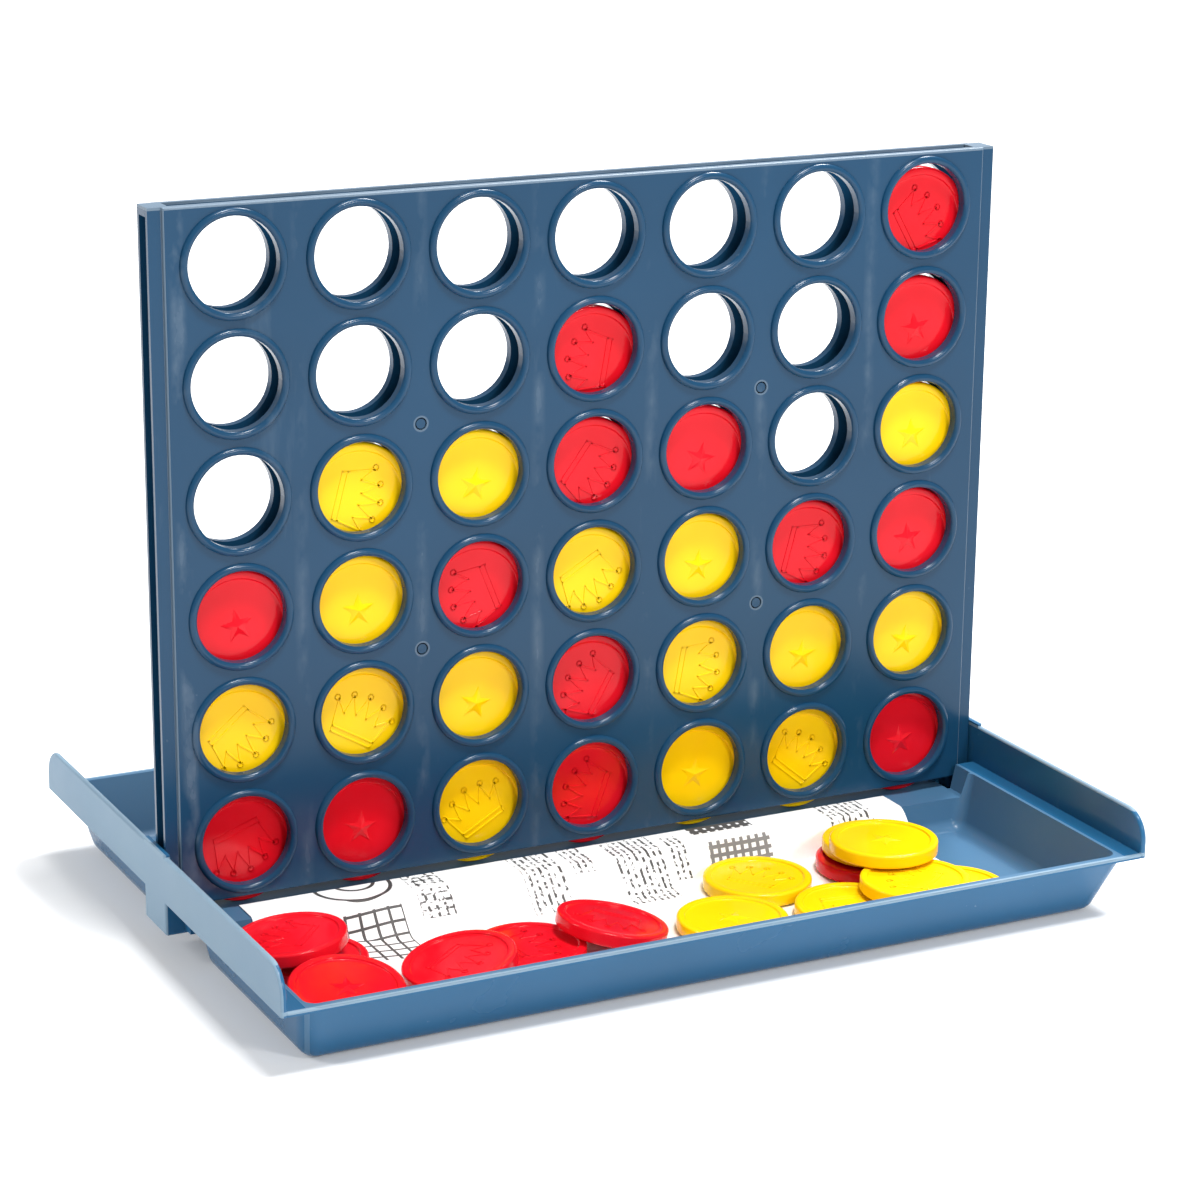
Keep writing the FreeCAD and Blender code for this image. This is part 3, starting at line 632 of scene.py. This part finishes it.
def sheet_line(x, front, rear, over, under):
    """Side view of the sheet at x: points (y, z) over the bridge, down a slope and along the floor."""
    brow, foot = -SHEET_BROW * MM, -foot_at(x / MM) * MM
    line = [(rear + (brow - rear) * k / BRIDGE_STEPS, over) for k in range(BRIDGE_STEPS)]
    for k in range(SLOPE_STEPS + 1):
        t = k / SLOPE_STEPS
        line.append((brow + (foot - brow) * t, over - (over - under) * t * t * (3 - 2 * t)))
    return line + [(foot + (front - foot) * k / FLOOR_STEPS, under) for k in range(1, FLOOR_STEPS + 1)]


def instruction_sheet():
    """Paper with a little waviness, laid over the bridge, its flat coordinates kept as UVs."""
    lowest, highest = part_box("Instruction_sheet")
    upper, lower, flat, lengths = [], [], [], []
    for k in range(ACROSS_STEPS + 1):
        x = lowest.x + (highest.x - lowest.x) * k / ACROSS_STEPS
        line = sheet_line(x, lowest.y, highest.y, highest.z - 0.25 * MM, lowest.z)
        travelled = [0.0]
        for (y0, z0), (y1, z1) in zip(line, line[1:]):
            travelled.append(travelled[-1] + math.hypot(y1 - y0, z1 - z0))
        lengths.append(travelled[-1])
        edge = travelled[BRIDGE_STEPS]
        for row, (y, z) in enumerate(line):
            before, after = line[max(row - 1, 0)], line[min(row + 1, len(line) - 1)]
            slope = Vector((0, before[1] - after[1], after[0] - before[0])).normalized() * -SHEET_THICK
            wave = WAVE * (1 + math.sin(41 * x + 35 * travelled[row]) * math.cos(67 * x - 23 * y))
            lower.append((x, y, z + wave))
            upper.append((x, max(y + slope.y, lowest.y), z + slope.z + wave))
            flat.append((x, travelled[row] - edge))
    rows = len(line)
    count = len(upper)
    vertices, faces = upper + lower, []
    for k in range(ACROSS_STEPS):
        for row in range(rows - 1):
            a, b = k * rows + row, (k + 1) * rows + row
            faces.append((a, a + 1, b + 1, b))
            faces.append((count + a + 1, count + a, count + b, count + b + 1))
        a, b = k * rows, (k + 1) * rows
        faces.append((a, b, count + b, count + a))
        a, b = a + rows - 1, b + rows - 1
        faces.append((count + a, count + b, b, a))
    last = ACROSS_STEPS * rows
    for row in range(rows - 1):
        faces.append((row, row + 1, count + row + 1, count + row))
    for a in range(last, last + rows - 1):
        faces.append((count + a, count + a + 1, a + 1, a))
    piece = mesh_object("printed_sheet", vertices, faces, PAPER, "tray", "Instruction_sheet", sharp=60.0)
    layer = piece.data.uv_layers.new(name="flat")
    for loop in piece.data.loops:
        layer.data[loop.index].uv = flat[loop.vertex_index % count]


instruction_sheet()


# ---------------------------------------------------------------- studio
FLOOR_HALF, FLOOR_DROP = 20.0, 0.0002
# the floor glows a little, and more behind the object and far from the lights, so that it stays white there
GLOW, GLOW_SLOPE, GLOW_AWAY, GLOW_BEHIND = 0.16, 0.55, 1.3, 0.25
WORLD_STRENGTH = 0.42
# soft boxes: name, place, aim, width, height, power in watts
SOFT_BOXES = (
    ("key_box", (0.65, 0.50, 1.20), (0, 0, 0.08), 0.36, 0.28, 24.0),
    ("left_box", (-1.1, 0.35, 0.75), (0, 0, 0.05), 0.20, 0.45, 6.0),
    ("top_box", (0.05, -0.45, 1.30), (0, -0.10, 0.0), 0.30, 0.22, 17.0),
    ("front_box", (0.35, -1.35, 0.85), (0, 0, 0.08), 0.26, 0.20, 8.0),
)


def studio():
    """Seamless pale floor, soft white surroundings and soft boxes."""
    mesh = bpy.data.meshes.new("floor")
    corners = [(-1, -1), (1, -1), (1, 1), (-1, 1)]
    mesh.from_pydata([(FLOOR_HALF * x, FLOOR_HALF * y, 0) for x, y in corners], [], [(0, 1, 2, 3)])
    floor = bpy.data.objects.new("floor", mesh)
    bpy.context.scene.collection.objects.link(floor)
    floor.location.z = -FLOOR_DROP
    material, nodes, links, shader = new_material("floor_white")
    shader.inputs["Base Color"].default_value = (0.80, 0.80, 0.80, 1)
    shader.inputs["Roughness"].default_value = 0.8
    shader.inputs["Specular IOR Level"].default_value = 0.1
    shader.inputs["Emission Color"].default_value = (1, 1, 1, 1)
    split = nodes.new("ShaderNodeSeparateXYZ")
    links.new(position(nodes, links), split.inputs["Vector"])
    east, north = split.outputs["X"], split.outputs["Y"]
    far = maths(nodes, links, "SUBTRACT", away(nodes, links, east, north), GLOW_AWAY, clamp=True)
    behind = maths(nodes, links, "SUBTRACT", north, GLOW_BEHIND, clamp=True)
    extra = maths(nodes, links, "MULTIPLY", either(nodes, links, far, behind), GLOW_SLOPE)
    links.new(maths(nodes, links, "ADD", extra, GLOW), shader.inputs["Emission Strength"])
    mesh.materials.append(material)

    world = bpy.data.worlds.new("studio")
    world.use_nodes = True
    background = world.node_tree.nodes["Background"]
    background.inputs["Color"].default_value = (1, 1, 1, 1)
    background.inputs["Strength"].default_value = WORLD_STRENGTH
    bpy.context.scene.world = world

    for name, place, aim, width, height, power in SOFT_BOXES:
        light = bpy.data.lights.new(name, "AREA")
        light.shape = "RECTANGLE"
        light.size = width
        light.size_y = height
        light.energy = power
        lamp = bpy.data.objects.new(name, light)
        lamp.location = place
        direction = Vector(aim) - Vector(place)
        lamp.rotation_euler = direction.to_track_quat("-Z", "Y").to_euler()
        bpy.context.scene.collection.objects.link(lamp)


def camera():
    """Long lens from the front left, a little above the frame."""
    data = bpy.data.cameras.new("camera")
    data.sensor_width = 36.0
    data.lens = 100.78
    data.clip_start = 0.05
    data.clip_end = 50.0
    eye = Vector((-0.3884, -0.7750, 0.33875))
    aim = Vector((0.004276, 0.0, 0.07983))
    look = (aim - eye).to_track_quat("-Z", "Y").to_matrix()
    roll = Matrix.Rotation(math.radians(0.555), 3, "Z")
    view = bpy.data.objects.new("camera", data)
    view.matrix_world = Matrix.Translation(eye) @ (look @ roll).to_4x4()
    bpy.context.scene.collection.objects.link(view)
    bpy.context.scene.camera = view


studio()
camera()
scene = bpy.context.scene
scene.view_settings.view_transform = "Standard"
scene.view_settings.look = "None"
